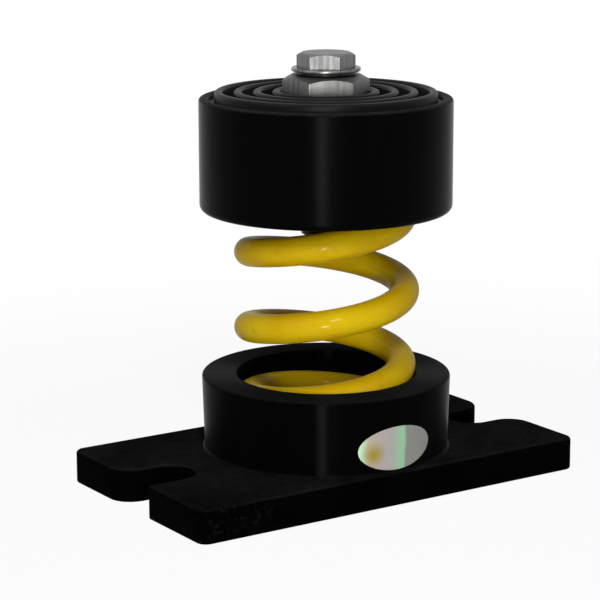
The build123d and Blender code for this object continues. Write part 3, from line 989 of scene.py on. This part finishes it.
def seen_share(tree):
    """1 for what the camera sees by itself, in gloss or through glass, and 0 for light on the object."""
    ray = tree.nodes.new("ShaderNodeLightPath")
    seen = combined(tree, "MAXIMUM", ray.outputs["Is Camera Ray"], ray.outputs["Is Glossy Ray"])
    return combined(tree, "MAXIMUM", seen, ray.outputs["Is Transmission Ray"])


floor_material, floor_tree, floor_shader = new_finish("white_floor")
floor_shader.inputs["Base Color"].default_value = FLOOR_WHITE
floor_shader.inputs["Roughness"].default_value = 0.9
floor_shader.inputs["Specular IOR Level"].default_value = 0
white = floor_tree.nodes.new("ShaderNodeEmission")
white.inputs["Color"].default_value = BACKDROP_WHITE
white.inputs["Strength"].default_value = 1
from_centre = floor_tree.nodes.new("ShaderNodeVectorMath")
from_centre.operation = "LENGTH"
lead(floor_tree, piece_position(floor_tree), from_centre.inputs[0])
glow_rise = stretched(
    floor_tree, from_centre.outputs["Value"], SHADOW_REACH, (GLOW_SHARE_NEAR, 1), soft=True,
)
blend = floor_tree.nodes.new("ShaderNodeMixShader")
lead(floor_tree, combined(floor_tree, "MULTIPLY", seen_share(floor_tree), glow_rise), blend.inputs["Fac"])
lead(floor_tree, floor_shader.outputs["BSDF"], blend.inputs[1])
lead(floor_tree, white.outputs["Emission"], blend.inputs[2])
lead(floor_tree, blend.outputs["Shader"], floor_tree.nodes["Material Output"].inputs["Surface"])
bm = bmesh.new()
bmesh.ops.create_circle(bm, cap_ends=True, segments=FLOOR_STEPS, radius=FLOOR_RADIUS)
bmesh.ops.translate(bm, vec=(0, 0, cad_low.z), verts=bm.verts)
floor = finished_piece(bm, "studio_floor", floor_material)

room = bpy.data.worlds.new("studio_room")
bpy.context.scene.world = room
room.use_nodes = True
room_tree = room.node_tree
backdrop = room_tree.nodes["Background"]
room_color = blended_shade(room_tree, seen_share(room_tree), ROOM_GREY, BACKDROP_WHITE)
lead(room_tree, room_color, backdrop.inputs["Color"])
backdrop.inputs["Strength"].default_value = 1

LOOK_AT = Vector((0, 0, 0.072))
CAMERA_AZIMUTH = math.radians(-34.2)
CAMERA_PITCH = math.radians(12.05)
CAMERA_DISTANCE = 0.8243
CAMERA_LENS = 138.0
CAMERA_SENSOR = 36.0
CAMERA_NEAREST = 0.01
CAMERA_FARTHEST = 50.0
FRAME_SHIFT_RIGHT = -0.0434
FRAME_SHIFT_UP = -0.0308


def from_object(azimuth, elevation):
    """Direction from the object towards a place, given round from the -Y side and above the floor."""
    return Vector((
        math.sin(azimuth) * math.cos(elevation),
        -math.cos(azimuth) * math.cos(elevation),
        math.sin(elevation),
    ))


def softbox(name, azimuth, elevation, distance, width, height, watts):
    """A rectangular soft light that looks at the object, not seen by the camera."""
    data = bpy.data.lights.new(name, "AREA")
    data.shape = "RECTANGLE"
    data.size = width
    data.size_y = height
    data.energy = watts
    lamp = bpy.data.objects.new(name, data)
    direction = from_object(CAMERA_AZIMUTH + math.radians(azimuth), math.radians(elevation))
    lamp.location = LOOK_AT + direction * distance
    lamp.rotation_euler = (-direction).to_track_quat("-Z", "Y").to_euler()
    lamp.visible_camera = False
    bpy.context.scene.collection.objects.link(lamp)


softbox("front_softbox", azimuth=5, elevation=40, distance=1.1, width=0.18, height=0.3, watts=6.4)
softbox("low_softbox", azimuth=-3.6, elevation=0, distance=1.0, width=0.12, height=0.13, watts=6.0)
softbox("left_softbox", azimuth=-50, elevation=40, distance=1.5, width=0.9, height=0.9, watts=3.5)
softbox("right_softbox", azimuth=55, elevation=40, distance=1.6, width=0.9, height=0.9, watts=1.4)

camera_data = bpy.data.cameras.new("photo_view")
camera_data.lens = CAMERA_LENS
camera_data.sensor_width = CAMERA_SENSOR
camera_data.shift_x = FRAME_SHIFT_RIGHT
camera_data.shift_y = FRAME_SHIFT_UP
camera_data.clip_start = CAMERA_NEAREST
camera_data.clip_end = CAMERA_FARTHEST
camera = bpy.data.objects.new("photo_view", camera_data)
bpy.context.scene.collection.objects.link(camera)
back = from_object(CAMERA_AZIMUTH, CAMERA_PITCH)
camera.location = LOOK_AT + back * CAMERA_DISTANCE
camera.rotation_euler = (-back).to_track_quat("-Z", "Y").to_euler()
bpy.context.scene.camera = camera
bpy.context.scene.view_settings.view_transform = "Standard"
